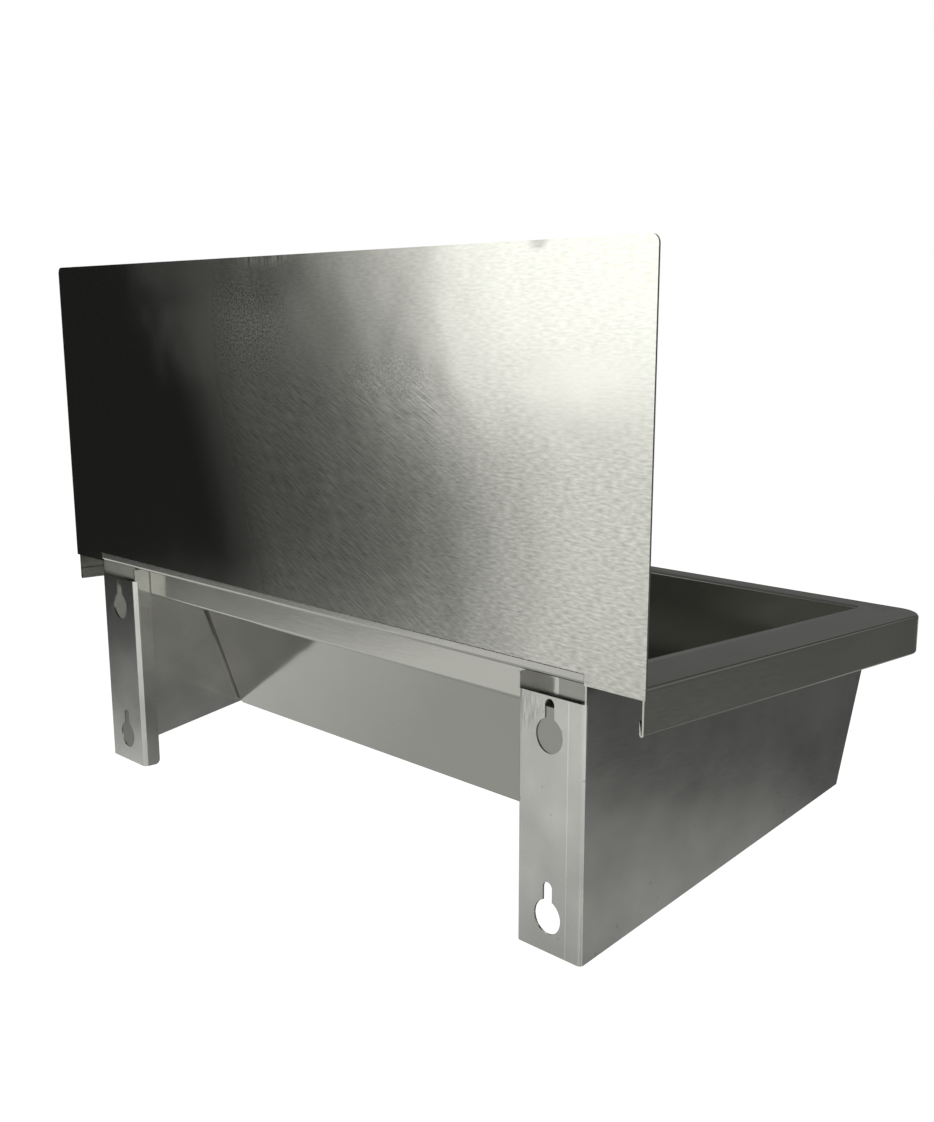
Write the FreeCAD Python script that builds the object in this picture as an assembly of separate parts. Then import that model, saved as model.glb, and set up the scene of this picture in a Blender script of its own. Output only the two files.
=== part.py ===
import FreeCAD, Part
import math
import os
from FreeCAD import Placement, Rotation, Vector

# Wall-hung hand wash sink in folded and welded stainless sheet, in millimetres.
# The wall is the plane y = 0 and the user stands at -Y, with +X on their right hand.
# z = 0 is the top of the rim, and x = 0 is the middle of the sink.

# ---- sheet and bends
SHEET = 1.2               # every folded piece is cut from this sheet
BEND_IN = 1.3             # inside radius of an ordinary bend
BEND_OUT = BEND_IN + SHEET
WELD_GAP = 0.1            # root gap left where a sheet edge is welded below another

# ---- splash back
WIDTH = 600.0
SPLASH_HEIGHT = 216.0     # above the rim
SPLASH_CORNER_R = 4.5
EAR_DROP = 5.5            # the splash back's two ears reach this far below the rim
EAR_GAP = 0.2             # between an ear and the end of the rear rail
SEAM_HEIGHT = 0.5         # middle of the stitched seam, above the rim
SEAM_GAP = 0.5
TACK_LENGTH = 1.6
TACK_PITCH = 12.0
SEAM_END_WELD = 4.5       # solid weld at each end of the seam

# ---- rim and apron
DEPTH = 285.0             # wall to the front of the apron
RIM_INSET = 1.5           # the rim is this much narrower than the splash back, each side
SIDE_RIM = 39.0           # apron face to the outside of the side panel
FRONT_RIM = 19.0          # apron face to the inside of the bowl
APRON_DROP = 25.0
RIM_CORNER_R = 22.0
HEM_RETURN = 8.5
HEM_GAP = 0.4

# ---- side panels with their wall brackets
BACK_DROP = 163.0         # bottom of the panel at the wall, below the rim
FRONT_DROP = 117.5        # bottom of the panel at its front corner, below the rim
FRONT_SETBACK = 38.0      # that corner, behind the apron face
NOSE_GAP = 2.0            # top of the panel's front edge to the inside of the apron
BRACKET_WIDTH = 50.0
BRACKET_TOP = 16.0        # top of the bracket's back face, below the rim
BRACKET_BEND_IN = 2.3     # inside radius of the bend to the return flange
FLANGE_TOP_GAP = 0.2      # return flange to the foot of the bend in the rear rail's shelf
FLANGE_REAR_GAP = 0.6     # the flange's free upper end to the wall plane
FLANGE_CORNER_R = 4.0

# ---- keyholes for the wall screws
KEYHOLE_HEAD_R = 10.0
KEYHOLE_SLOT = 7.0
KEYHOLE_RISE = 20.5       # head hole's centre to the slot's upper end
KEYHOLE_INSET = 25.5      # head hole's centre to the outside of the side panel
KEYHOLE_TOP_INSET = 22.0  # upper head hole's centre to the bracket's top edge
KEYHOLE_FOOT_INSET = 21.0 # lower head hole's centre to the bracket's bottom edge

# ---- rear rail below the splash back
RAIL_DEPTH = 13.0         # rail face to the wall plane
RAIL_DROP = 28.1          # bottom of the rail, below the rim
RAIL_LIP = 12.0

# ---- bowl
DECK = 36.0               # wall to the outside of the bowl's sloping shoulder, at rim level
BACK_SETBACK = 69.1       # wall to where the back wall's outside would meet rim level
BACK_TILT = 18.5          # degrees that the back wall leans
KNEE_DROP = 40.0          # shoulder and back wall meet this far below the rim
KNEE_R = 12.0             # outside radius of that bend
CREVICE = 1.1             # bowl end to side panel
FLOOR_PROUD = 1.0         # the bowl's floor is this far below the side panels' lower edges
FRONT_LIP = 0.8           # those panels reach this far past the foot of the bowl's front wall
BOWL_CORNER_R = 3.5       # inside, up the four corners
FOOT_R = 2.0              # inside, round the floor
BOWL_FLANGE = 7.0         # bowl's inside face to the weld in the top
END_COVE = 2.0            # weld of the bowl's end to the wrap, past the corner radius

# ---- waste fitting
DRAIN_SETBACK = 56.0      # along the floor, from the foot of the back wall to the drain's centre
DISH_R = 38.0
DISH_EDGE = 1.0
DISH_DEPTH = 2.5
DISH_BEND_IN = 0.6
DRAIN_HOLE_R = 22.0
THREAD_R = 20.95          # 1 1/4 inch parallel pipe thread, outside
THREAD_CLEARANCE = 0.05
SEAL_CLEARANCE = 0.25
BORE_R = 18.0
WASTE_FLANGE_R = 32.0
WASTE_FLANGE = 1.5
MOUTH_R = 22.5
SEAT_R = 19.3
SEAT_DEPTH = 3.0
WASTE_LENGTH = 26.0
GROOVE_R = 20.0           # thread run-out below the locknut
GROOVE_WIDTH = 1.5
GROOVE_DROP = 0.4         # locknut to groove
SEAL_R = 31.0
UPPER_SEAL = 1.0
LOWER_SEAL = 2.5
WASHER_R = 30.0
WASHER = 1.2
NUT_FLATS = 50.0
NUT_HEIGHT = 6.5
BRIDGE_TOP = 8.0
BRIDGE_HEIGHT = 4.0
BRIDGE_WIDTH = 7.0
BOSS_R = 5.5
BOSS_EXTRA = 2.0
GRID = 1.4
GRID_CLEARANCE = 0.2
GRID_HOLE_R = 2.1
GRID_CIRCLES = (8.6, 14.6)
GRID_HOLE_COUNTS = (6, 12)
SCREW_R = 3.0
SCREW_CLEARANCE = 0.3
SCREW_HEAD_R = 5.2
SCREW_HEAD = 2.2
SCREW_SLOT = 1.2
SCREW_TIP = 0.8           # past the end of the boss

# ---- places worked out from the sizes
RIM_HALF = WIDTH / 2 - RIM_INSET
PANEL_X = RIM_HALF - SIDE_RIM
PANEL_IN = PANEL_X - SHEET
BOWL_OUT = PANEL_IN - CREVICE
BOWL_IN = BOWL_OUT - SHEET
TOP_SEAM_X = BOWL_IN + BOWL_FLANGE
TOP_SEAM_REAR = -(DECK + SHEET) + BOWL_FLANGE
TOP_SEAM_FRONT = -(DEPTH - FRONT_RIM) - BOWL_FLANGE
END_SEAM_X = BOWL_IN - BOWL_CORNER_R - END_COVE
CORNER_X = RIM_HALF - RIM_CORNER_R
CORNER_Y = -(DEPTH - RIM_CORNER_R)
HEM = 2 * SHEET + HEM_GAP
PANEL_TOP = -(SHEET + WELD_GAP)
NOSE_Y = -(DEPTH - SHEET - NOSE_GAP)
FOOT_Y = -(DEPTH - FRONT_SETBACK)
FLANGE_X = PANEL_X - BRACKET_WIDTH
KEYHOLE_X = PANEL_X - KEYHOLE_INSET
KEYHOLES_Z = (-(BRACKET_TOP + KEYHOLE_TOP_INSET), -(BACK_DROP - KEYHOLE_FOOT_INSET))
ON_PLANE = 1e-4
REACH = 4 * DEPTH         # longer than the sink, for cutting


# ---- drawing helpers

def box(x0, x1, y0, y1, z0, z1):
    """Block between two corners."""
    return Part.makeBox(x1 - x0, y1 - y0, z1 - z0, Vector(x0, y0, z0))


def ring(outer, inner, top, height):
    """Round washer about local Z, hanging down from its top."""
    start = Vector(0, 0, top - height)
    return Part.makeCylinder(outer, height, start).cut(Part.makeCylinder(inner, height, start))


def mirrored(shape):
    """The same piece for the left hand side."""
    return shape.mirror(Vector(0, 0, 0), Vector(1, 0, 0))


def offset_corners(points, shift):
    """The corners of an open line moved sideways to the left by a distance."""
    moved = []
    for index, (u, v) in enumerate(points):
        normals = []
        for a, b in ((index - 1, index), (index, index + 1)):
            if 0 <= a and b < len(points):
                du = points[b][0] - points[a][0]
                dv = points[b][1] - points[a][1]
                length = math.hypot(du, dv)
                normals.append((-dv / length, du / length))
        first, last = normals[0], normals[-1]
        spread = 1 + first[0] * last[0] + first[1] * last[1]
        moved.append((u + shift * (first[0] + last[0]) / spread, v + shift * (first[1] + last[1]) / spread))
    return moved


def rounded_line(points, radii, place):
    """Edges along an open line whose inner corners are arcs."""
    edges = []
    start = Vector(*points[0], 0)
    for corner, after, radius in zip(points[1:-1], points[2:], radii):
        knee = Vector(*corner, 0)
        incoming = (knee - start).normalize()
        outgoing = (Vector(*after, 0) - knee).normalize()
        turn = incoming.getAngle(outgoing)
        setback = radius * math.tan(turn / 2)
        begin = knee - incoming * setback
        end = knee + outgoing * setback
        inward = (outgoing - incoming).normalize()
        middle = knee + inward * (radius / math.cos(turn / 2) - radius)
        if (begin - start).Length > ON_PLANE:
            edges.append(Part.LineSegment(place(start), place(begin)).toShape())
        edges.append(Part.Arc(place(begin), place(middle), place(end)).toShape())
        start = end
    finish = Vector(*points[-1], 0)
    if (finish - start).Length > ON_PLANE:
        edges.append(Part.LineSegment(place(start), place(finish)).toShape())
    return edges


def folded_face(points, inside_radii, side, place):
    """Cross-section of a folded sheet; the line is one face, the sheet lies on its left (+1) or right (-1)."""
    near, far = [], []
    for before, knee, after, inside in zip(points, points[1:], points[2:], inside_radii):
        cross = (knee[0] - before[0]) * (after[1] - knee[1]) - (knee[1] - before[1]) * (after[0] - knee[0])
        sheet_inside = cross * side > 0
        near.append(inside + SHEET if sheet_inside else inside)
        far.append(inside if sheet_inside else inside + SHEET)
    other = offset_corners(points, side * SHEET)
    edges = rounded_line(points, near, place)
    edges += rounded_line(other, far, place)
    for a, b in ((points[0], other[0]), (points[-1], other[-1])):
        edges.append(Part.LineSegment(place(Vector(*a, 0)), place(Vector(*b, 0))).toShape())
    return Part.Face(Part.Wire(Part.__sortEdges__(edges)))


def polygon_prism(outline, x0, x1):
    """Plate with an outline in (y, z), between two x."""
    points = [Vector(x0, y, z) for y, z in outline]
    return Part.Face(Part.makePolygon(points + points[:1])).extrude(Vector(x1 - x0, 0, 0))


def crossing(a, b):
    """Point where two lines in (y, z) meet; each is a point and a direction."""
    (py, pz), (dy, dz) = a
    (qy, qz), (ey, ez) = b
    along = ((qy - py) * ez - (qz - pz) * ey) / (dy * ez - dz * ey)
    return (py + along * dy, pz + along * dz)


def moved_line(line, shift):
    """A line in (y, z) moved sideways to the left of its direction."""
    (py, pz), (dy, dz) = line
    length = math.hypot(dy, dz)
    return ((py - dz / length * shift, pz + dy / length * shift), (dy, dz))


# ---- splash back, rear rail and their stitched seam

def splash_back():
    """Flat plate with rounded upper corners and an ear at each lower corner."""
    seam_top = SEAM_HEIGHT + SEAM_GAP / 2
    plate = box(-WIDTH / 2, WIDTH / 2, -SHEET, 0, -EAR_DROP, SPLASH_HEIGHT)
    corners = [edge for edge in plate.Edges
               if all(abs(vertex.Z - SPLASH_HEIGHT) < ON_PLANE for vertex in edge.Vertexes)
               and abs(edge.Vertexes[0].X - edge.Vertexes[1].X) < ON_PLANE]
    plate = plate.makeFillet(SPLASH_CORNER_R, corners)
    between_ears = PANEL_IN + EAR_GAP
    return plate.cut(box(-between_ears, between_ears, -REACH, REACH, -REACH, seam_top))


def rear_rail():
    """Folded strip that carries the splash back's lower edge: shelf, rail face and lip."""
    seam_foot = SEAM_HEIGHT - SEAM_GAP / 2
    line = [(0, seam_foot), (0, -EAR_DROP), (-RAIL_DEPTH, -EAR_DROP), (-RAIL_DEPTH, -RAIL_DROP),
            (-RAIL_DEPTH - RAIL_LIP, -RAIL_DROP)]
    face = folded_face(line, [BEND_IN] * 3, -1, lambda p: Vector(-PANEL_IN, p.x, p.y))
    return face.extrude(Vector(2 * PANEL_IN, 0, 0))


def seam_welds():
    """Tack welds that fill the seam at a steady pitch, and a solid weld at each end."""
    foot = SEAM_HEIGHT - SEAM_GAP / 2
    end = PANEL_IN - SEAM_END_WELD
    count = int((end - TACK_LENGTH) // TACK_PITCH)
    welds = []
    for index in range(-count, count + 1):
        x = index * TACK_PITCH
        welds.append(box(x - TACK_LENGTH / 2, x + TACK_LENGTH / 2, -SHEET, 0, foot, foot + SEAM_GAP))
    corner = box(end, PANEL_IN, -SHEET, 0, foot, foot + SEAM_GAP)
    return Part.makeCompound(welds + [corner, mirrored(corner)])


# ---- rim, apron and deck

def skirt_face(place):
    """Cross-section of the rim's outer bend, the apron and its closed hem; u = 0 is the apron's face."""
    line = [(-BEND_OUT, 0), (0, 0), (0, -APRON_DROP), (-HEM, -APRON_DROP), (-HEM, -APRON_DROP + HEM_RETURN)]
    return folded_face(line, [BEND_IN, HEM_GAP / 2, HEM_GAP / 2], -1, place)


def top_opening():
    """Block that the bowl's own flange fills in the top sheet."""
    return box(-TOP_SEAM_X, TOP_SEAM_X, TOP_SEAM_FRONT, TOP_SEAM_REAR, -SHEET, 0)


def rim_right():
    """Side rim: flat, outer bend, apron and hem, from the splash back to the rounded corner."""
    skirt = skirt_face(lambda p: Vector(RIM_HALF + p.x, CORNER_Y, p.y))
    skirt = skirt.extrude(Vector(0, -SHEET - CORNER_Y, 0))
    flat = box(TOP_SEAM_X, RIM_HALF - BEND_OUT, CORNER_Y, -SHEET, -SHEET, 0)
    return flat.fuse(skirt).removeSplitter()


def rim_corner_right():
    """Rounded front corner, welded in between the side rim and the front rim."""
    skirt = skirt_face(lambda p: Vector(RIM_HALF + p.x, CORNER_Y, p.y))
    skirt = skirt.revolve(Vector(CORNER_X, CORNER_Y, 0), Vector(0, 0, 1), -90)
    flat_r = RIM_CORNER_R - BEND_OUT
    flat = Part.makeCylinder(flat_r, SHEET, Vector(CORNER_X, CORNER_Y, -SHEET), Vector(0, 0, 1), 90)
    flat.rotate(Vector(CORNER_X, CORNER_Y, 0), Vector(0, 0, 1), -90)
    return flat.fuse(skirt).cut(top_opening()).removeSplitter()


def rim_front():
    """Front rim between the two corners."""
    skirt = skirt_face(lambda p: Vector(-CORNER_X, -DEPTH - p.x, p.y))
    skirt = skirt.extrude(Vector(2 * CORNER_X, 0, 0))
    inside = -(DEPTH - BEND_OUT)
    flat = box(-CORNER_X, CORNER_X, inside, CORNER_Y, -SHEET, 0)
    strip = box(-TOP_SEAM_X, TOP_SEAM_X, inside, TOP_SEAM_FRONT, -SHEET, 0)
    return flat.fuse([strip, skirt]).cut(top_opening()).removeSplitter()


def rear_deck():
    """Flat ledge between the splash back and the bowl."""
    return box(-TOP_SEAM_X, TOP_SEAM_X, TOP_SEAM_REAR, -SHEET, -SHEET, 0)


# ---- side panels

def keyhole(z):
    """Cutter for one keyhole: head hole, slot and the slot's round end."""
    through = 4 * SHEET
    start = Vector(KEYHOLE_X, through / 2, z)
    back = Vector(0, -1, 0)
    end_z = z + KEYHOLE_RISE - KEYHOLE_SLOT / 2
    head = Part.makeCylinder(KEYHOLE_HEAD_R, through, start, back)
    tip = Part.makeCylinder(KEYHOLE_SLOT / 2, through, Vector(KEYHOLE_X, through / 2, end_z), back)
    half = KEYHOLE_SLOT / 2
    slot = box(KEYHOLE_X - half, KEYHOLE_X + half, -through / 2, through / 2, z, end_z)
    return head.fuse([tip, slot])


def side_panel_right():
    """Side sheet folded round to the wall bracket and its return flange, with two keyholes."""
    outline = [(-BEND_OUT, -BACK_DROP), (FOOT_Y, -FRONT_DROP), (NOSE_Y, PANEL_TOP), (-SHEET, PANEL_TOP),
               (-SHEET, -BRACKET_TOP), (-BEND_OUT, -BRACKET_TOP)]
    wall = polygon_prism(outline, PANEL_IN, PANEL_X)
    line = [(PANEL_X, -BEND_OUT), (PANEL_X, 0), (FLANGE_X, 0), (FLANGE_X, -RAIL_DEPTH)]
    bracket = folded_face(line, [BEND_IN, BRACKET_BEND_IN], 1, lambda p: Vector(p.x, p.y, -BACK_DROP))
    bracket = bracket.extrude(Vector(0, 0, BACK_DROP - BRACKET_TOP))
    foot = [edge for edge in bracket.Edges
            if all(abs(v.Y + RAIL_DEPTH) < ON_PLANE and abs(v.Z + BACK_DROP) < ON_PLANE for v in edge.Vertexes)]
    bracket = bracket.makeFillet(FLANGE_CORNER_R, foot)
    flange_top = -EAR_DROP - BEND_IN - FLANGE_TOP_GAP
    upper = box(FLANGE_X, FLANGE_X + SHEET, -RAIL_DEPTH, -FLANGE_REAR_GAP, -BRACKET_TOP, flange_top)
    panel = wall.fuse([bracket, upper])
    return panel.cut([keyhole(z) for z in KEYHOLES_Z]).removeSplitter()


# ---- bowl

def floor_line():
    """Outside of the bowl's floor, drawn from the wall towards the front."""
    line = ((-BEND_OUT, -BACK_DROP), (FOOT_Y + BEND_OUT, BACK_DROP - FRONT_DROP))
    return moved_line(line, FLOOR_PROUD)


def floor_tilt():
    """Angle of the floor in radians; it rises towards the front."""
    return math.atan2(BACK_DROP - FRONT_DROP, -FOOT_Y - BEND_OUT)


def bowl_outline(inset, top):
    """Corners of the bowl in (y, z), a distance inside its outer faces, up to a level."""
    tilt = math.radians(BACK_TILT)
    knee = (-BACK_SETBACK - KNEE_DROP * math.tan(tilt), -KNEE_DROP)
    shoulder = moved_line(((-DECK, 0), (knee[0] + DECK, knee[1])), -inset)
    back = moved_line((knee, (-math.sin(tilt), -math.cos(tilt))), -inset)
    floor = moved_line(floor_line(), -inset)
    front_top = (-(DEPTH - FRONT_RIM) - SHEET, 0)
    front_foot = (FOOT_Y + FRONT_LIP, -FRONT_DROP)
    run = (front_foot[0] - front_top[0], front_foot[1] - front_top[1])
    front = moved_line((front_top, run), inset)
    level = ((0, top), (1, 0))
    return [crossing(shoulder, level), crossing(shoulder, back), crossing(back, floor), crossing(front, floor),
            crossing(front, level)]


def on_line(edge, a, b):
    """Whether all of an edge lies over a line through two points in (y, z)."""
    run = (b[0] - a[0], b[1] - a[1])
    spots = [edge.valueAt(edge.FirstParameter + share * (edge.LastParameter - edge.FirstParameter))
             for share in (0, 0.5, 1)]
    return all(abs((p.y - a[0]) * run[1] - (p.z - a[1]) * run[0]) < ON_PLANE * DEPTH for p in spots)


def rounded_pan(inset, top, half, corner_r, foot_r):
    """Solid block in the shape of the bowl, with rounded knee, corners and foot."""
    outline = bowl_outline(inset, top)
    mouth_rear, knee_at, back_foot, front_foot, mouth_front = outline
    block = polygon_prism(outline, -half, half)
    knee = [edge for edge in block.Edges
            if all(math.dist((v.Y, v.Z), knee_at) < ON_PLANE for v in edge.Vertexes)]
    block = block.makeFillet(KNEE_R + inset, knee)
    upright = [edge for edge in block.Edges
               if abs(edge.Vertexes[0].X - edge.Vertexes[-1].X) < ON_PLANE
               and not on_line(edge, back_foot, front_foot) and not on_line(edge, mouth_rear, mouth_front)]
    block = block.makeFillet(corner_r, upright)
    return block.makeFillet(foot_r, [edge for edge in block.Edges if on_line(edge, back_foot, front_foot)])


def loop_at(shape, level):
    """Edges of the bowl's mouth at a level, without the flange's outline."""
    loop = []
    for edge in shape.Edges:
        flat = all(abs(v.Z - level) < ON_PLANE for v in edge.Vertexes)
        inside = all(abs(v.X) < TOP_SEAM_X - ON_PLANE and TOP_SEAM_FRONT + ON_PLANE < v.Y < TOP_SEAM_REAR - ON_PLANE
                     for v in edge.Vertexes)
        if flat and inside:
            loop.append(edge)
    return loop


def bowl_shell():
    """The whole bowl with its flange, before it is divided at its welds."""
    outer = rounded_pan(0, -SHEET, BOWL_OUT, BOWL_CORNER_R + SHEET, FOOT_R + SHEET)
    body = outer.fuse(top_opening()).removeSplitter()
    body = body.makeFillet(BEND_IN, loop_at(body, -SHEET))
    body = body.cut(rounded_pan(SHEET, SHEET, BOWL_IN, BOWL_CORNER_R, FOOT_R))
    return body.makeFillet(BEND_OUT, loop_at(body, 0))


def bowl_end_right(shell):
    """Pressed end of the bowl, with its corners and foot radius."""
    return shell.common(box(END_SEAM_X, REACH, -REACH, REACH, -REACH, REACH))


def bowl_wrap(shell):
    """Folded back wall, floor and front wall, with the dish for the waste."""
    wrap = shell.common(box(-END_SEAM_X, END_SEAM_X, -REACH, REACH, -REACH, REACH))
    slope_r = DISH_R - DISH_EDGE
    line = [(DISH_R, 0), (slope_r, 0), (slope_r - DISH_DEPTH, -DISH_DEPTH), (DRAIN_HOLE_R, -DISH_DEPTH)]
    face = folded_face(line, [DISH_BEND_IN] * 2, 1, lambda p: Vector(p.x, 0, p.y))
    dish = face.revolve(Vector(0, 0, 0), Vector(0, 0, 1), 360)
    opening = Part.makeCylinder(DISH_R, 4 * SHEET, Vector(0, 0, -2 * SHEET))
    return wrap.cut(on_floor(opening)).fuse(on_floor(dish)).removeSplitter()


# ---- waste fitting, drawn upright about local Z with z = 0 on the bowl's floor

def on_floor(shape):
    """Put a shape drawn about local Z at the drain, square to the sloping floor."""
    outline = bowl_outline(SHEET, 0)
    slope = floor_tilt()
    y = outline[2][0] - DRAIN_SETBACK * math.cos(slope)
    z = outline[2][1] + DRAIN_SETBACK * math.sin(slope)
    placed = shape.copy()
    placed.transformShape(Placement(Vector(0, y, z), Rotation(Vector(1, 0, 0), -math.degrees(slope))).toMatrix())
    return placed


def waste_top():
    """Level of the waste's upper face."""
    return -DISH_DEPTH + UPPER_SEAL + WASTE_FLANGE


def locknut_foot():
    """Level of the locknut's lower face."""
    return -DISH_DEPTH - SHEET - LOWER_SEAL - WASHER - NUT_HEIGHT


def waste_body():
    """Flanged tube with a seat for the grid and a bridge that takes its screw."""
    top = waste_top()
    groove_top = locknut_foot() - GROOVE_DROP
    groove_foot = groove_top - GROOVE_WIDTH
    outline = [(WASTE_FLANGE_R, top - WASTE_FLANGE), (WASTE_FLANGE_R, top), (MOUTH_R, top),
               (SEAT_R, top - SEAT_DEPTH + GRID), (SEAT_R, top - SEAT_DEPTH), (BORE_R, top - SEAT_DEPTH),
               (BORE_R, -WASTE_LENGTH), (THREAD_R, -WASTE_LENGTH), (THREAD_R, groove_foot),
               (GROOVE_R, groove_foot), (GROOVE_R, groove_top), (THREAD_R, groove_top),
               (THREAD_R, top - WASTE_FLANGE)]
    points = [Vector(r, 0, z) for r, z in outline]
    tube = Part.Face(Part.makePolygon(points + points[:1])).revolve(Vector(0, 0, 0), Vector(0, 0, 1), 360)
    wall_middle = (BORE_R + THREAD_R) / 2
    half = BRIDGE_WIDTH / 2
    bridge = box(-wall_middle, wall_middle, -half, half, -BRIDGE_TOP - BRIDGE_HEIGHT, -BRIDGE_TOP)
    boss = Part.makeCylinder(BOSS_R, BRIDGE_HEIGHT + BOSS_EXTRA, Vector(0, 0, -BRIDGE_TOP - BRIDGE_HEIGHT - BOSS_EXTRA))
    hole = Part.makeCylinder(SCREW_R + THREAD_CLEARANCE, WASTE_LENGTH, Vector(0, 0, -WASTE_LENGTH))
    return tube.fuse([bridge, boss]).cut(hole).removeSplitter()


def waste_upper_seal():
    """Thin rubber ring between the dish and the waste's flange."""
    return ring(SEAL_R, THREAD_R + SEAL_CLEARANCE, -DISH_DEPTH + UPPER_SEAL, UPPER_SEAL)


def waste_lower_seal():
    """Thick rubber ring under the floor."""
    return ring(SEAL_R, THREAD_R + SEAL_CLEARANCE, -DISH_DEPTH - SHEET, LOWER_SEAL)


def waste_washer():
    """Slip washer between the lower seal and the nut."""
    return ring(WASHER_R, THREAD_R + SEAL_CLEARANCE, -DISH_DEPTH - SHEET - LOWER_SEAL, WASHER)


def waste_locknut():
    """Hexagonal backnut with its corners turned off."""
    foot = locknut_foot()
    corner_r = NUT_FLATS / 2 / math.cos(math.pi / 6)
    corners = [Vector(corner_r * math.cos(k * math.pi / 3), corner_r * math.sin(k * math.pi / 3), foot)
               for k in range(7)]
    hexagon = Part.Face(Part.makePolygon(corners)).extrude(Vector(0, 0, NUT_HEIGHT))
    turned_r = (corner_r + NUT_FLATS / 2) / 2
    cone = Part.makeCone(turned_r, turned_r + NUT_HEIGHT, NUT_HEIGHT, Vector(0, 0, foot))
    bore = Part.makeCylinder(THREAD_R + THREAD_CLEARANCE, NUT_HEIGHT, Vector(0, 0, foot))
    return hexagon.common(cone).cut(bore)


def strainer_grid():
    """Round plate with rings of holes, seated in the waste's mouth."""
    foot = waste_top() - SEAT_DEPTH
    plate = Part.makeCylinder(SEAT_R - GRID_CLEARANCE, GRID, Vector(0, 0, foot))
    holes = [Part.makeCylinder(SCREW_R + SCREW_CLEARANCE, GRID, Vector(0, 0, foot))]
    for count, radius in zip(GRID_HOLE_COUNTS, GRID_CIRCLES):
        for index in range(count):
            angle = 2 * math.pi * index / count
            spot = Vector(radius * math.cos(angle), radius * math.sin(angle), foot)
            holes.append(Part.makeCylinder(GRID_HOLE_R, GRID, spot))
    return plate.cut(holes)


def strainer_screw():
    """Slotted screw that holds the grid down to the bridge."""
    seat = waste_top() - SEAT_DEPTH + GRID
    tip = -BRIDGE_TOP - BRIDGE_HEIGHT - BOSS_EXTRA - SCREW_TIP
    shank = Part.makeCylinder(SCREW_R, seat - tip, Vector(0, 0, tip))
    head = Part.makeCylinder(SCREW_HEAD_R, SCREW_HEAD, Vector(0, 0, seat))
    crown = [edge for edge in head.Edges if all(abs(v.Z - seat - SCREW_HEAD) < ON_PLANE for v in edge.Vertexes)]
    head = head.makeFillet(SCREW_HEAD / 2, crown)
    half = SCREW_SLOT / 2
    slot = box(-SCREW_HEAD_R, SCREW_HEAD_R, -half, half, seat + SCREW_HEAD / 2, seat + SCREW_HEAD)
    return shank.fuse(head).cut(slot).removeSplitter()


# ---- the assembly

def assembly():
    """Every sub-part under its own name."""
    shell = bowl_shell()
    nodes = {
        "splash_back": splash_back(),
        "rear_rail": rear_rail(),
        "seam_welds": seam_welds(),
        "rear_deck": rear_deck(),
        "rim_front": rim_front(),
        "bowl_wrap": bowl_wrap(shell),
    }
    pairs = {"rim": rim_right(), "rim_corner": rim_corner_right(), "side_panel": side_panel_right(),
             "bowl_end": bowl_end_right(shell)}
    for name, shape in pairs.items():
        nodes[name + "_right"] = shape
        nodes[name + "_left"] = mirrored(shape)
    for make in (waste_body, waste_upper_seal, waste_lower_seal, waste_washer, waste_locknut, strainer_grid,
                 strainer_screw):
        nodes[make.__name__] = on_floor(make())
    return nodes


os.makedirs("parts", exist_ok=True)
for name, shape in assembly().items():
    shape.exportStep("parts/" + name + ".step")
    print(f"{name}: {len(shape.Solids)} solid(s), valid {shape.isValid()}, {shape.Volume:.0f} mm3")
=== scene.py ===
# %% [markdown]
# # Wall-hung hand wash sink, seen from behind
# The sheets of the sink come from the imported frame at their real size. This script gives them
# their steel, with the marks that rolling, sanding and handling leave on it, and stands the
# camera where the photograph was taken.

# %% Load the frame
import bmesh
import bpy
import math
from mathutils import Matrix, Vector

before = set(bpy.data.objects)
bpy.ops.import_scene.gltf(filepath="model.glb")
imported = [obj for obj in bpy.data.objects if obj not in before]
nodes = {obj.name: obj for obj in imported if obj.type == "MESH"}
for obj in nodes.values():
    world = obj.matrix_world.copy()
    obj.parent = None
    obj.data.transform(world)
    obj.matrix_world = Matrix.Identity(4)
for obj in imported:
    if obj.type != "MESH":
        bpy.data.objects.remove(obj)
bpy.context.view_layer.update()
print("sheets and fittings in the frame:", len(nodes))

# %% [markdown]
# ## Camera
# The places of sixteen corners in the photograph give the lens, the spot and the direction.
# The camera's right and forward axes are all that its rotation needs, because its up axis is
# square to both. The photograph is a crop, so its optical axis isn't in its middle: a small
# shift of the lens moves the picture and leaves the perspective as it is.

# %% Camera
PHOTO_WIDTH, PHOTO_HEIGHT = 934, 1122
FOCAL_PX = 1310.6
AXIS_PX = (560, 640)
CAMERA_AT = Vector((-0.70307, 0.47739, 0.16772))
CAMERA_RIGHT = Vector((-0.71606, -0.69788, 0.01454))
CAMERA_AHEAD = Vector((0.67804, -0.70035, -0.22312))
NEAREST = 0.02

scene = bpy.context.scene
lens = bpy.data.cameras.new("camera")
camera = bpy.data.objects.new("camera", lens)
scene.collection.objects.link(camera)
scene.camera = camera
lens.lens = FOCAL_PX / PHOTO_HEIGHT * lens.sensor_width
lens.shift_x = (PHOTO_WIDTH / 2 - AXIS_PX[0]) / PHOTO_HEIGHT
lens.shift_y = (AXIS_PX[1] - PHOTO_HEIGHT / 2) / PHOTO_HEIGHT
lens.clip_start = NEAREST
ahead = CAMERA_AHEAD.normalized()
right = (CAMERA_RIGHT - ahead * CAMERA_RIGHT.dot(ahead)).normalized()
turn = Matrix((right, right.cross(ahead), -ahead)).transposed()
camera.matrix_world = Matrix.Translation(CAMERA_AT) @ turn.to_4x4()
print("lens", round(lens.lens, 1), "mm")

# %% [markdown]
# ## Small helpers for node trees
# A material is a graph. Naming a node's kind, its settings and what feeds each socket in one
# line keeps the graph readable: a number sets a socket, and another node's socket links to it.

# %% Node helpers
WHITE = (1, 1, 1, 1)


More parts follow.
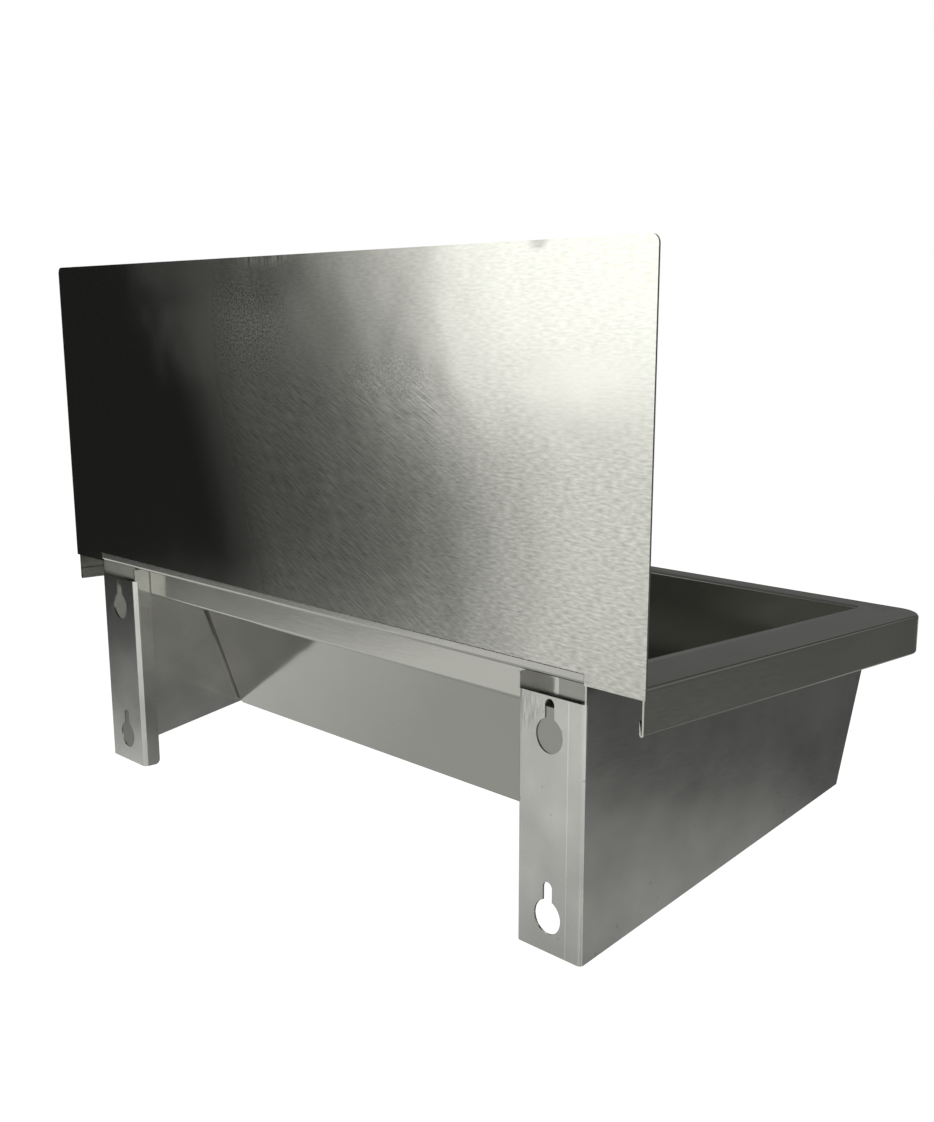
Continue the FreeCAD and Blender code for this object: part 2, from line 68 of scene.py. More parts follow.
def add(tree, kind, settings=None, **feeds):
    """Add a shader node; feeds are socket names, with underscores for spaces, and their values."""
    made = tree.nodes.new("ShaderNode" + kind)
    for name, value in (settings or {}).items():
        setattr(made, name, value)
    for name, value in feeds.items():
        feed(tree, made, name.replace("_", " "), value)
    return made


def feed(tree, made, name, value):
    """Set one socket, or link another socket to it. A name such as in1 is a socket by number."""
    by_number = name[:2] == "in" and name[2:].isdigit()
    socket = made.inputs[int(name[2:])] if by_number else made.inputs[name]
    if isinstance(value, bpy.types.NodeSocket):
        tree.links.new(value, socket)
    else:
        socket.default_value = value


def maths(tree, operation, first, second=0.0, third=0.0):
    """One Math node's result."""
    return add(tree, "Math", {"operation": operation}, in0=first, in1=second, in2=third).outputs[0]


def total(tree, first, *others):
    """Several values added up."""
    for other in others:
        first = maths(tree, "ADD", first, other)
    return first


def product(tree, first, *others):
    """Several values multiplied."""
    for other in others:
        first = maths(tree, "MULTIPLY", first, other)
    return first


def axes(tree, vector):
    """A vector's X, Y and Z."""
    return add(tree, "SeparateXYZ", in0=vector).outputs


def remap(tree, value, low, high, to_low=0.0, to_high=1.0, smooth=True):
    """Stretch a value's range onto another one, and stop at its ends."""
    kind = "SMOOTHSTEP" if smooth else "LINEAR"
    made = add(tree, "MapRange", {"interpolation_type": kind}, Value=value,
               From_Min=low, From_Max=high, To_Min=to_low, To_Max=to_high)
    return made.outputs["Result"]


def empty_tree(owner):
    """The node tree of a new material or world, with nothing in it."""
    owner.use_nodes = True
    owner.node_tree.nodes.clear()
    return owner.node_tree


print("helpers ready")

# %% [markdown]
# ## Studio
# The sink is at its usual height, so a pale floor lies 0.87 m below the rim. The background
# is white by itself, not by more light on the steel: the world and the floor shine with a
# strength of 1 for the rays that only look, which are those of the camera, of reflections and
# of clear materials. The floor keeps the soft shadow that the lamps throw on it.

# %% World and floor
FLOOR_Z = -0.87
FLOOR_SIZE = 16.0
FLOOR_GREY = (0.8, 0.8, 0.8, 1)
FLOOR_GLOW = 0.62
WORLD_FILL = (0.55, 0.55, 0.54, 1)
scene.view_settings.view_transform = "Standard"


def looking(tree):
    """1 for camera, glossy and transmission rays, and 0 for the light that spreads."""
    path = add(tree, "LightPath")
    seen = maths(tree, "MAXIMUM", path.outputs["Is Camera Ray"], path.outputs["Is Glossy Ray"])
    return maths(tree, "MAXIMUM", seen, path.outputs["Is Transmission Ray"])


def flat_sheet(name, material, width, tall):
    """A rectangle in its own X and Y, with its middle at the origin."""
    shape = bmesh.new()
    bmesh.ops.create_grid(shape, x_segments=1, y_segments=1, size=0.5)
    bmesh.ops.scale(shape, vec=(width, tall, 1), verts=shape.verts)
    mesh = bpy.data.meshes.new(name)
    shape.to_mesh(mesh)
    shape.free()
    mesh.materials.append(material)
    made = bpy.data.objects.new(name, mesh)
    scene.collection.objects.link(made)
    return made


world = bpy.data.worlds.new("studio")
scene.world = world
tree = empty_tree(world)
fill = add(tree, "Background", Color=WORLD_FILL)
white = add(tree, "Background", Color=WHITE)
mix = add(tree, "MixShader", in0=looking(tree), in1=fill.outputs[0], in2=white.outputs[0])
add(tree, "OutputWorld", Surface=mix.outputs[0])

floor_paint = bpy.data.materials.new("floor_white")
tree = empty_tree(floor_paint)
matt = add(tree, "BsdfDiffuse", Color=FLOOR_GREY)
glow = add(tree, "Emission", Color=WHITE, Strength=product(tree, looking(tree), FLOOR_GLOW))
both = add(tree, "AddShader", in0=matt.outputs[0], in1=glow.outputs[0])
add(tree, "OutputMaterial", Surface=both.outputs[0])
floor = flat_sheet("studio_floor", floor_paint, FLOOR_SIZE, FLOOR_SIZE)
floor.location.z = FLOOR_Z
print("floor at", FLOOR_Z)

# %% [markdown]
# ## Flags and cards
# Steel has little colour of its own: it shows what stands round it. One end of the splash
# back is nearly black and the other nearly white, and the near side is grey. Photographers
# make such looks with black flags and grey cards. Each card is a real plane in the studio
# that only reflections see. Its feathered edge is a ramp from its own colour to clear, so the
# white behind it shows through.

# %% Card helpers


def card_paint(name, level, cover=1.0):
    """A glowing card: its brightness, and how much of the white it hides.

    Each is a number, or a function of the tree and of the card's own X and Y.
    """
    made = bpy.data.materials.new(name)
    tree = empty_tree(made)
    x, y, _ = axes(tree, add(tree, "TexCoord").outputs["Object"])
    strength, hidden = [part(tree, x, y) if callable(part) else part for part in (level, cover)]
    clear = add(tree, "BsdfTransparent", Color=WHITE)
    shining = add(tree, "Emission", Color=WHITE, Strength=strength)
    mix = add(tree, "MixShader", in0=hidden, in1=clear.outputs[0], in2=shining.outputs[0])
    add(tree, "OutputMaterial", Surface=mix.outputs[0])
    return made


def hide_card(made):
    """Only reflections see a card: not the camera, the spread light or the lamps' shadows."""
    made.visible_camera = False
    made.visible_diffuse = False
    made.visible_shadow = False
    made.visible_transmission = False


def stand_card(name, paint, towards, distance, height, width, tall):
    """Stand a card upright round the sink, in a direction in degrees from +Y towards +X."""
    made = flat_sheet(name, paint, width, tall)
    angle = math.radians(towards)
    out = Vector((math.sin(angle), math.cos(angle), 0))
    across = Vector((math.cos(angle), -math.sin(angle), 0))
    up = Vector((0, 0, 1))
    turned = Matrix((across, up, out)).transposed().to_4x4()
    made.matrix_world = Matrix.Translation(out * distance + up * height) @ turned
    hide_card(made)


def lay_card(name, paint, place, width):
    """Lay a square card flat, with its middle at a place."""
    made = flat_sheet(name, paint, width, width)
    made.location = place
    hide_card(made)


def steps(tree, value, places):
    """A ramp through pairs of place and level."""
    first, last = places[0][0], places[-1][0]
    ramp = add(tree, "ValToRGB", Fac=remap(tree, value, first, last, smooth=False))
    points = ramp.color_ramp.elements
    while len(points) < len(places):
        points.new(0.5)
    for point, (place, level) in zip(points, places):
        point.position = (place - first) / (last - first)
        point.color = (level, level, level, 1)
    return ramp.outputs["Color"]


def radius(tree, x, y):
    """Distance from a card's middle."""
    return maths(tree, "SQRT", maths(tree, "MULTIPLY_ADD", x, x, product(tree, y, y)))


print("card helpers ready")

# %% [markdown]
# One black flag makes the dark end of the splash back. Its near edge slants, and is upright
# near the floor, and its foot is soft. A faint band stands in it, so that the dark end isn't
# one even black. Each pair below is a place on the flag, in metres, and a level.

# %% Dark flag behind the far end
FLAG_BLACK = 0.018
FLAG_SLANT = 0.55
FLAG_STRAIGHT_BELOW = -0.42
FLAG_STEPS = ((-0.75, 0.0), (-0.43, 0.07), (-0.34, 0.28), (-0.25, 0.66), (-0.19, 0.84),
              (-0.08, 0.92), (0.08, 0.975), (0.22, 0.995), (0.36, 1.0))
FLAG_FOOT = ((-1.05, 0.25), (-0.95, 0.56), (-0.76, 0.87), (-0.64, 0.96), (-0.56, 1.0))
BAND_GLOW = 0.05
BAND_SLANT = 0.31
BAND_STEPS = ((0.14, 0.0), (0.18, 0.8), (0.24, 1.0), (0.27, 0.6), (0.31, 0.0))
BAND_RUNGS = ((-0.13, 0.0), (-0.1, 1.0), (-0.02, 1.0), (0.0, 1.3), (0.03, 0.7), (0.06, 0.4),
                (0.08, 1.0), (0.5, 1.0))


def flag_cover(tree, x, y):
    """Clear at its slanting near edge, then half dark, then black but for the band."""
    rise = maths(tree, "MAXIMUM", y, FLAG_STRAIGHT_BELOW)
    slanted = maths(tree, "MULTIPLY_ADD", rise, -FLAG_SLANT, x)
    whole = product(tree, steps(tree, slanted, FLAG_STEPS), steps(tree, y, FLAG_FOOT))
    leaning = maths(tree, "MULTIPLY_ADD", y, -BAND_SLANT, x)
    band = product(tree, steps(tree, leaning, BAND_STEPS), steps(tree, y, BAND_RUNGS))
    return maths(tree, "MULTIPLY_ADD", band, -BAND_GLOW, whole)


black_paint = card_paint("flag_black", FLAG_BLACK, flag_cover)
stand_card("flag_far", black_paint, towards=56.0, distance=2.4, height=0.2, width=5.0, tall=4.0)
print("flag placed")

# %% [markdown]
# Two grey cards stand where the near side, the rim and the bowl mirror them. Each range below
# is a start, an end, the level at the start and the level at the end.

# %% Grey cards beside and before the sink
SIDE_REAR = (0.2, 1.2, 0.11, 0.3)     # across: paler for the panel's near edge
SIDE_HIGH = (0.2, 0.9, 0.0, 0.13)     # up: what the rim's bend mirrors
FRONT_STEPS = ((-0.75, 0.03), (-0.6, 0.06), (-0.48, 0.15), (-0.35, 0.17), (-0.15, 0.08),
               (0.1, 0.035), (0.45, 0.035), (0.9, 0.14))
FRONT_FADE = (-1.4, -1.2, 0.0, 1.0)
PATCH_ACROSS = (-0.1, 0.05, 0.0, 1.0)
PATCH_UP = (-0.66, -0.56, 1.0, 0.0)
PATCH_GLOW = 0.15


def side_level(tree, x, y):
    """Dark, paler towards the rear and high up."""
    return total(tree, remap(tree, x, *SIDE_REAR), remap(tree, y, *SIDE_HIGH))


def front_level(tree, x, y):
    """Grey bands, and a lighter patch low down that the bowl's front wall mirrors twice."""
    low = product(tree, remap(tree, x, *PATCH_ACROSS), remap(tree, y, *PATCH_UP))
    return maths(tree, "MULTIPLY_ADD", low, PATCH_GLOW, steps(tree, y, FRONT_STEPS))


def front_cover(tree, x, y):
    """Clear at the foot."""
    return remap(tree, y, *FRONT_FADE)


side_paint = card_paint("card_side_grey", side_level)
stand_card("card_side", side_paint, towards=222.0, distance=2.5, height=0.9, width=4.6, tall=3.6)
front_paint = card_paint("card_front_grey", front_level, front_cover)
stand_card("card_front", front_paint, towards=145.0, distance=2.0, height=0.9, width=3.0, tall=3.6)
print("upright cards placed")

# %% [markdown]
# The sheets that lean or lie low mirror the floor, and its shades come from mats. They fade
# with the distance from their middle, and lie a centimetre apart so that none shares its
# plane with another. A dim ceiling does the same for the rim's flat top.

# %% Grey mats and a dim ceiling
REAR_MAT_STEPS = ((0.7, 0.95), (1.5, 0.55), (2.2, 0.42), (3.2, 0.15), (4.5, 0.0))
FRONT_MAT_STEPS = ((0.95, 0.08), (1.2, 0.4), (1.8, 0.3), (2.1, 0.13), (3.0, 0.12))
FRONT_MAT_EDGE = (3.6, 4.4, 1.0, 0.0)
FRONT_MAT_REAR = (0.3, -0.3, 0.0, 1.0)
SPOT_FADE = (0.3, 0.9, 0.5, 0.0)
CEILING_FADE = (3.0, 3.8, 1.0, 0.0)
REAR_GREY, SPOT_GREY, CEILING_GREY = 0.42, 0.12, 0.1
REAR_MAT_AT = (0.2, 0.3, FLOOR_Z + 0.02)
FRONT_MAT_AT = (-0.2, -0.3, FLOOR_Z + 0.03)
SPOT_MAT_AT = (-1.1, 0.5, FLOOR_Z + 0.04)
CEILING_AT = (0.2, -0.6, 2.3)


def rear_mat_cover(tree, x, y):
    """Fades outwards in steps."""
    return steps(tree, radius(tree, x, y), REAR_MAT_STEPS)


def front_mat_level(tree, x, y):
    """Rings of grey."""
    return steps(tree, radius(tree, x, y), FRONT_MAT_STEPS)


def front_mat_cover(tree, x, y):
    """The half of the floor before the sink, with a soft rear edge."""
    far = remap(tree, radius(tree, x, y), *FRONT_MAT_EDGE)
    return product(tree, far, remap(tree, y, *FRONT_MAT_REAR))


def spot_mat_cover(tree, x, y):
    """A soft round spot."""
    return remap(tree, radius(tree, x, y), *SPOT_FADE)


def ceiling_cover(tree, x, y):
    """A soft round edge."""
    return remap(tree, radius(tree, x, y), *CEILING_FADE)


rear_paint = card_paint("mat_rear_grey", REAR_GREY, rear_mat_cover)
lay_card("mat_rear", rear_paint, REAR_MAT_AT, width=9.2)
mat_paint = card_paint("mat_front_grey", front_mat_level, front_mat_cover)
lay_card("mat_front", mat_paint, FRONT_MAT_AT, width=9.0)
spot_paint = card_paint("mat_spot_grey", SPOT_GREY, spot_mat_cover)
lay_card("mat_spot", spot_paint, SPOT_MAT_AT, width=1.8)
ceiling_paint = card_paint("ceiling_grey", CEILING_GREY, ceiling_cover)
lay_card("ceiling", ceiling_paint, CEILING_AT, width=7.8)
print("mats and ceiling placed")

# %% [markdown]
# ## Lamps
# Two soft boxes. The key stands behind the near end, high up, where the splash back mirrors
# it as the pale corner. The other is only a broad fill for the front, and reflections don't
# see it, so it puts no bright shape on the rim.

# %% Lamps


def lamp(name, place, aim, width, tall, glow):
    """A soft box; glow is the brightness of its face, from which the power follows."""
    data = bpy.data.lights.new(name, "AREA")
    data.shape = "RECTANGLE"
    data.size, data.size_y = width, tall
    data.energy = glow * math.pi * width * tall
    made = bpy.data.objects.new(name, data)
    scene.collection.objects.link(made)
    made.location = place
    made.rotation_euler = (Vector(aim) - Vector(place)).to_track_quat("-Z", "Y").to_euler()
    made.visible_camera = False
    return made


lamp("key", place=(1.41, 1.99, 0.55), aim=(0, 0, 0.1), width=1.1, tall=1.1, glow=1.0)
front_fill = lamp("front_fill", place=(-0.8, -2.2, 2.2), aim=(0, 0, 0), width=1.5, tall=1.5,
                  glow=0.3)
front_fill.visible_glossy = False
print("lamps placed")

# %% [markdown]
# ## Steel
# One recipe serves every sheet. Stainless is a metal with a warm grey tint; the belt that
# finished it left fine scratches in one direction, and they spread its reflections across
# them. The shader's anisotropy does that, with a tangent square to the scratches. The grain
# itself is noise that is stretched along the belt's path, and a second noise many times
# larger makes the sheet's soft waves and clouds. Where a sheet was sanded by hand, part of
# its face is hazy: a second, rougher metal is mixed in there.

# %% Steel
HAZE_ROUGH = 0.29
CLOUD_SIZE, CLOUD_DETAIL, GRAIN_DETAIL = 0.09, 2.0, 3.0
MIDDLE = 0.5                  # what the noises vary about
USUAL = {
    "long": 0.009,            # length and width of a scratch, in metres
    "fine": 0.0009,
    "line_rough": 0.12,       # what scratches and clouds change of the roughness
    "cloud_rough": 0.12,
    "line_shade": 0.25,       # and of the colour
    "cloud_shade": 0.12,
    "scratch": 0.00001,       # depth of the scratches and of the sheet's waves, in metres
    "wave": 0.0006,
}


def stretched(tree, coords, sizes, detail=GRAIN_DETAIL, turned=(0, 0, 0)):
    """Noise with its grain size, in metres, given along each axis of a frame that may be turned."""
    mapping = add(tree, "Mapping", {"vector_type": "TEXTURE"}, Vector=coords, Rotation=turned,
                  Scale=sizes)
    noise = add(tree, "TexNoise", Vector=mapping.outputs[0], Scale=1.0, Detail=detail)
    return noise.outputs["Fac"]


def steel(name, colour, roughness, grain, spread, marks=None, lean=None, **how):
    """Brushed or mill-finished stainless. Grain is the belt's direction, spread its anisotropy.

    marks(tree, coords) gives the shade, roughness and height to add where the sheet was handled,
    or where shade is painted on, and perhaps the share of its face that sanding left hazy.
    the face where the sheet isn't quite flat.
    """
    how = {**USUAL, **how}
    made = bpy.data.materials.new(name)
    tree = empty_tree(made)
    coords = add(tree, "TexCoord").outputs["Object"]
    normal = add(tree, "NewGeometry").outputs["Normal"]
    tangent = add(tree, "VectorMath", {"operation": "CROSS_PRODUCT"}, in0=normal, in1=grain)
    lines = stretched(tree, coords, [how["long"] if share else how["fine"] for share in grain])
    clouds = stretched(tree, coords, (CLOUD_SIZE,) * 3, CLOUD_DETAIL)
    uneven = maths(tree, "SUBTRACT", lines, MIDDLE)
    cloudy = maths(tree, "SUBTRACT", clouds, MIDDLE)
    rough = maths(tree, "MULTIPLY_ADD", uneven, how["line_rough"], roughness)
    rough = maths(tree, "MULTIPLY_ADD", cloudy, how["cloud_rough"], rough)
    shade = maths(tree, "MULTIPLY_ADD", uneven, how["line_shade"], 1.0)
    shade = maths(tree, "MULTIPLY_ADD", cloudy, how["cloud_shade"], shade)
    height = product(tree, lines, how["scratch"])
    more = marks(tree, coords) if marks else ()
    if more:
        shade, rough, height = [total(tree, *pair) for pair in zip((shade, rough, height), more)]
    tint = add(tree, "VectorMath", {"operation": "SCALE"}, in0=colour, Scale=shade)
    level = lean(tree, coords, normal) if lean else normal
    waves = add(tree, "Bump", Strength=1.0, Distance=1.0, Normal=level,
                Height=product(tree, clouds, how["wave"]))
    scratches = add(tree, "Bump", Strength=1.0, Distance=1.0, Normal=waves.outputs[0],
                    Height=height)
    common = {"Base_Color": tint.outputs[0], "Metallic": 1.0, "Tangent": tangent.outputs[0],
              "Normal": scratches.outputs[0]}
    face = add(tree, "BsdfPrincipled", Roughness=rough, Anisotropic=spread, **common).outputs[0]
    if len(more) > 3:
        haze = add(tree, "BsdfPrincipled", Roughness=HAZE_ROUGH, **common).outputs[0]
        face = add(tree, "MixShader", in0=more[3], in1=face, in2=haze).outputs[0]
    add(tree, "OutputMaterial", Surface=face)
    return made


print("steel recipe ready")

# %% [markdown]
# The splash back was sanded by hand, and it shows. Its far third kept the mill's smooth
# finish. A speckled blotch and a field of slanting scratches come next, and the near end has
# a coarse grain along the sheet, with one smooth patch. Each mark is a noise, times a soft
# spot that says where on the sheet it lies. The marks are on the rear face alone. A grain is
# given by its size along X, Y and Z in metres, a place by its middle and its reach in X and Z,
# and a border by where a mark begins and where it is whole.

# %% Marks on the splash back
ALONG_GRAIN = (0.0055, 1, 0.0012)
SLANTING_GRAIN = (0.014, 1, 0.0012)
SPECKLE_GRAIN = (0.0018, 1, 0.0014)
UPRIGHT_GRAIN = (0.003, 1, 0.03)
SCRATCH_TURN = math.radians(-25)
REAR_FACE = (-0.0009, -0.0003)        # in Y, between the plate's two faces
COARSE_NEAR, COARSE_LOW = (-0.08, -0.2), (0.16, 0.09)
GRAIN_BASE, GRAIN_COARSE, GRAIN_SMOOTH = 0.4, 0.5, -0.3
SMOOTH_PATCH = ((-0.255, 0.137), (0.055, 0.03))
SMOOTH_ROUGH = -0.04
SANDED_FAR, SANDED_NEAR, SANDED_TOP = (0.12, 0.05), (-0.2, -0.11), (0.165, 0.13)
BLOTCH = ((0.046, 0.172), (0.056, 0.04))
SECOND_BLOTCH = ((-0.1, 0.146), (0.05, 0.018))
TOP_EDGE = ((0.02, 0.216), (0.035, 0.008))
# The patch near the top of the far end, over its speckles, is darkened as painted shade.
PAINTED_SHADE_TOP = ((0.03, 0.21), (0.07, 0.035))
SMUDGE = ((-0.2216, 0.217), (0.009, 0.007))
MILL_SLANTS_BELOW = 0.142
MILL_SLANT = 0.35
MILL_ROUGH = (0.05, 0.1, 0.0, -0.08)
HAZE = (0.14, 0.07, 0.0, 0.28)
# The last is the darkening both for the smudge and for the painted shade near the far top.
SPECKLE_SHADE, TOP_SHADE, TOP_MIDDLE, SMUDGE_AND_PAINTED_SHADE = 2.0, 2.0, 0.4, -0.3
SPECKLE_DEPTH, SCRATCH_DEPTH = 0.00006, 0.00003
PLAIN = 1.0                           # one layer of finer noise on top
SPOT_EDGE = (0.4, 1.1, 1.0, 0.0)


def spot(tree, x, z, middle, reach):
    """1 round a place on an upright sheet, and 0 beyond its reach."""
    across = product(tree, maths(tree, "SUBTRACT", x, middle[0]), 1 / reach[0])
    up = product(tree, maths(tree, "SUBTRACT", z, middle[1]), 1 / reach[1])
    return remap(tree, radius(tree, across, up), *SPOT_EDGE)


def streaks(tree, noise, where, strength=1.0, middle=MIDDLE):
    """A noise about its middle, times a place and a strength."""
    return product(tree, maths(tree, "SUBTRACT", noise, middle), strength, where)


def splash_marks(tree, coords):
    """The hand sanding of the splash back, and a patch of painted shade near its far top."""
    x, y, z = axes(tree, coords)
    along = stretched(tree, coords, ALONG_GRAIN, PLAIN)
    slanting = stretched(tree, coords, SLANTING_GRAIN, PLAIN, (0, SCRATCH_TURN, 0))
    speckle = stretched(tree, coords, SPECKLE_GRAIN, PLAIN)
    upright = stretched(tree, coords, UPRIGHT_GRAIN, PLAIN)
    coarse = product(tree, remap(tree, x, *COARSE_NEAR), remap(tree, z, *COARSE_LOW))
    smooth = spot(tree, x, z, *SMOOTH_PATCH)
    amount = maths(tree, "MULTIPLY_ADD", coarse, GRAIN_COARSE, GRAIN_BASE)
    amount = maths(tree, "MULTIPLY_ADD", smooth, GRAIN_SMOOTH, amount)
    below = maths(tree, "MAXIMUM", maths(tree, "SUBTRACT", MILL_SLANTS_BELOW, z), 0.0)
    shifted = maths(tree, "MULTIPLY_ADD", below, MILL_SLANT, x)
    sanded = product(tree, remap(tree, shifted, *SANDED_FAR), remap(tree, x, *SANDED_NEAR),
                     remap(tree, z, *SANDED_TOP))
    scratched = streaks(tree, slanting, sanded)
    speckled = streaks(tree, speckle, spot(tree, x, z, *BLOTCH))
    shade = total(tree, streaks(tree, along, amount), scratched,
                  product(tree, speckled, SPECKLE_SHADE),
                  streaks(tree, speckle, spot(tree, x, z, *SECOND_BLOTCH)),
                  streaks(tree, upright, spot(tree, x, z, *TOP_EDGE), TOP_SHADE, TOP_MIDDLE),
                  # painted shade near the top of the far end, then the smudge
                  product(tree, spot(tree, x, z, *PAINTED_SHADE_TOP), SMUDGE_AND_PAINTED_SHADE),
                  product(tree, spot(tree, x, z, *SMUDGE), SMUDGE_AND_PAINTED_SHADE))
    rough = maths(tree, "MULTIPLY_ADD", smooth, SMOOTH_ROUGH, remap(tree, shifted, *MILL_ROUGH))
    dents = maths(tree, "MULTIPLY_ADD", speckled, SPECKLE_DEPTH,
                  product(tree, scratched, SCRATCH_DEPTH))
    rear_face = remap(tree, y, *REAR_FACE)
    marks = (shade, rough, dents, remap(tree, shifted, *HAZE))
    return [product(tree, mark, rear_face) for mark in marks]


print("marks of the splash back ready")

# %% [markdown]
# The side panels kept the mill's dull finish, so they show clouds and a few dark specks, and
# the near bracket has a rubbed line and some scuffs near its top. The rail is a narrow
# bright strip, and its two ends above the brackets look unlike the rest, with a dark, a pale
# and a grey part. There the steel's colour is darkened as painted shade, most at the near
# tip. A tilted shading normal changes what a face mirrors and leaves its shape, so the face
# tilts a little down, and its ends tilt up.

# %% Marks on the side panels, and the rail's lean and painted shade
PANEL_CLOUD, PANEL_SPECK = 0.035, 0.0035
CLOUD_SOFT, SPECK_SOFT = 2.0, 0.0     # layers of finer noise on top
PANEL_SHADE = 0.4
SPECKS = (0.79, 0.84, 0.0, -0.2)
SPECK_DEPTH, CLOUD_ROUGH = 0.00004, 0.05
RUBBED_AT, RUBBED_HALF_WIDTH, RUBBED_SHADE = -0.248, 0.0004, 0.2
SCUFF_GRAIN = (0.0015, 1, 0.012)
SCUFFS = ((-0.217, -0.024), (0.014, 0.014))
SCUFF_SHADE, SCUFF_MIDDLE = 1.2, 0.6
RAIL_END = (0.2075, 0.2085)           # in X, either side of the middle
RAIL_FACE = (-0.006, -0.005, 1.0, 0.0)  # in Y, between the face and the strip on the wall
RAIL_LEAN, END_LEAN, END_TURN = -0.08, 0.3, 0.05
# Painted shade on the rail's two ends: their colour loses 55 %, and 75 % towards the near tip.
END_PAINTED_SHADE = (-0.2285, -0.2275, -0.75, -0.55)


def side_marks(tree, coords):
    """Clouds and specks on the side panels, and on the near bracket a rubbed line and scuffs."""
    x, _, z = axes(tree, coords)
    cloudy = stretched(tree, coords, (PANEL_CLOUD,) * 3, CLOUD_SOFT)
    clouds = product(tree, maths(tree, "SUBTRACT", cloudy, MIDDLE), PANEL_SHADE)
    specks = remap(tree, stretched(tree, coords, (PANEL_SPECK,) * 3, SPECK_SOFT), *SPECKS)
    rubbed = maths(tree, "COMPARE", x, RUBBED_AT, RUBBED_HALF_WIDTH)
    scuffs = streaks(tree, stretched(tree, coords, SCUFF_GRAIN, PLAIN),
                     spot(tree, x, z, *SCUFFS), SCUFF_SHADE, SCUFF_MIDDLE)
    shade = total(tree, clouds, specks, product(tree, rubbed, RUBBED_SHADE), scuffs)
    return shade, product(tree, clouds, CLOUD_ROUGH), product(tree, specks, SPECK_DEPTH)


def rail_end(tree, coords):
    """1 on the two ends of the rail's face, above the brackets."""
    x, y, _ = axes(tree, coords)
    at_end = remap(tree, maths(tree, "ABSOLUTE", x), *RAIL_END)
    return product(tree, at_end, remap(tree, y, *RAIL_FACE))


def rail_lean(tree, coords, normal):
    """The rail's face leans a little down, and its two ends above the brackets lean up."""
    at_end = rail_end(tree, coords)
    lean = add(tree, "CombineXYZ", X=product(tree, at_end, END_TURN),
               Z=maths(tree, "MULTIPLY_ADD", at_end, END_LEAN - RAIL_LEAN, RAIL_LEAN))
    leaning = add(tree, "VectorMath", {"operation": "ADD"}, in0=normal, in1=lean.outputs[0])
    return add(tree, "VectorMath", {"operation": "NORMALIZE"}, in0=leaning.outputs[0]).outputs[0]


def rail_painted_shade(tree, coords):
    """Painted shade: the rail's two ends are darkened, the near one most at its tip."""
    # painted shade, darkest past the near tip's edge
    painted_dark = remap(tree, axes(tree, coords)[0], *END_PAINTED_SHADE)
    return product(tree, painted_dark, rail_end(tree, coords)), 0.0, 0.0


print("marks of the panels and the rail ready")

# %% [markdown]
# Each sheet has its own finish: the splash back a satin grain, the rail a brighter one, the
# panels the mill's dull face with the widest clouds, the rim a belt finish along each side,
# and the bowl the smoothest. The welds are darker and matt, and the waste is polished.

# %% Steel of each sheet
ALONG, ACROSS = (1, 0, 0), (0, 1, 0)
WARM_GREY = (0.56, 0.562, 0.512)
PANEL_GREY = (0.56, 0.562, 0.53)
WELD_GREY = (0.25, 0.24, 0.22)
WASTE_GREY = (0.62, 0.62, 0.61)
splash_steel = steel("splash_steel", WARM_GREY, roughness=0.165, grain=ALONG, spread=0.6,
                     marks=splash_marks, line_rough=0.06, cloud_rough=0.05, line_shade=0.1)
rail_steel = steel("rail_steel", WARM_GREY, roughness=0.13, grain=ALONG, spread=0.2,
                   marks=rail_painted_shade, lean=rail_lean, line_shade=0.08, wave=0.0003)
side_steel = steel("side_steel", PANEL_GREY, roughness=0.16, grain=ACROSS, spread=0.0,
                   marks=side_marks, line_shade=0.05, scratch=0.0, wave=0.0009,
                   cloud_shade=0.6)
rim_steel = steel("rim_steel", WARM_GREY, roughness=0.22, grain=ACROSS, spread=0.5,
                  line_shade=0.12)
front_steel = steel("front_steel", WARM_GREY, roughness=0.22, grain=ALONG, spread=0.5,
                    line_shade=0.12)
bowl_steel = steel("bowl_steel", WARM_GREY, roughness=0.12, grain=ALONG, spread=0.1,
                   line_shade=0.05, scratch=0.0)
weld_steel = steel("weld_steel", WELD_GREY, roughness=0.4, grain=ALONG, spread=0.0,
                   fine=0.001, long=0.001)
waste_steel = steel("waste_steel", WASTE_GREY, roughness=0.16, grain=ALONG, spread=0.0,
                    line_shade=0.03, scratch=0.0)
print("steels ready")

# %% [markdown]
# ## Rubber
# The waste's two seals are moulded rubber: nearly black, matt, and faintly grained. One fine
# noise serves both the roughness and the bump.

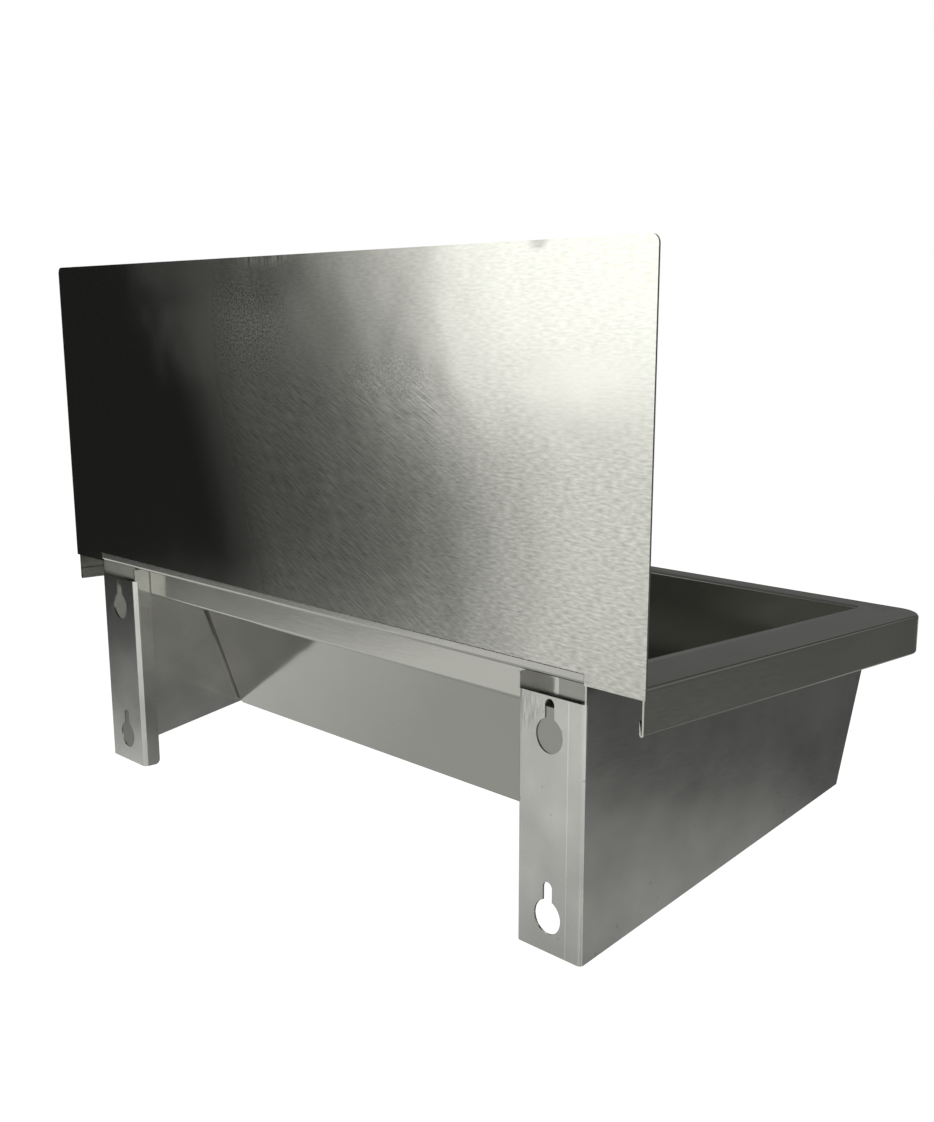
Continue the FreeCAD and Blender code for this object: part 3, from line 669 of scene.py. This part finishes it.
# %% Rubber
RUBBER_BLACK = (0.03, 0.03, 0.03, 1)
RUBBER_GRAIN = 0.0008
RUBBER_ROUGH, RUBBER_UNEVEN = 0.55, 0.25
RUBBER_BUMP, RUBBER_BUMP_HEIGHT = 0.3, 0.0003
rubber = bpy.data.materials.new("seal_rubber")
tree = empty_tree(rubber)
coords = add(tree, "TexCoord").outputs["Object"]
speckle = stretched(tree, coords, (RUBBER_GRAIN,) * 3)
rough = maths(tree, "MULTIPLY_ADD", speckle, RUBBER_UNEVEN, RUBBER_ROUGH)
bump = add(tree, "Bump", Strength=RUBBER_BUMP, Distance=RUBBER_BUMP_HEIGHT, Height=speckle)
shader = add(tree, "BsdfPrincipled", Base_Color=RUBBER_BLACK, Roughness=rough,
             Normal=bump.outputs[0])
add(tree, "OutputMaterial", Surface=shader.outputs[0])
print("rubber ready")

# %% [markdown]
# ## Dress the frame
# Each sheet of the frame keeps its mesh. Its triangles are loose, so a Weld modifier joins
# them, Edge Split keeps the true corners sharp, and Weighted Normal stops a rounded bend from
# shading the flat beside it.

# %% Finish of each sheet
STEEL_OF = {
    "splash_back": splash_steel, "rear_rail": rail_steel, "seam_welds": weld_steel,
    "rear_deck": front_steel, "rim_front": front_steel,
    "rim_left": rim_steel, "rim_right": rim_steel,
    "rim_corner_left": rim_steel, "rim_corner_right": rim_steel,
    "side_panel_left": side_steel, "side_panel_right": side_steel,
    "bowl_wrap": bowl_steel, "bowl_end_left": bowl_steel, "bowl_end_right": bowl_steel,
    "waste_body": waste_steel, "waste_upper_seal": rubber, "waste_lower_seal": rubber,
    "waste_washer": waste_steel, "waste_locknut": waste_steel,
    "strainer_grid": waste_steel, "strainer_screw": waste_steel,
}
SHARP = math.radians(32)
JOIN_WITHIN = 1e-6


def soften_bends(made):
    """Smooth shading across bends, with flats left flat."""
    for face in made.data.polygons:
        face.use_smooth = True
    made.modifiers.new("join", "WELD").merge_threshold = JOIN_WITHIN
    made.modifiers.new("corners", "EDGE_SPLIT").split_angle = SHARP
    made.modifiers.new("flats", "WEIGHTED_NORMAL").keep_sharp = True


for name, node in nodes.items():
    node.data.materials.clear()
    node.data.materials.append(STEEL_OF[name])
    soften_bends(node)
print("dressed", len(nodes), "nodes")
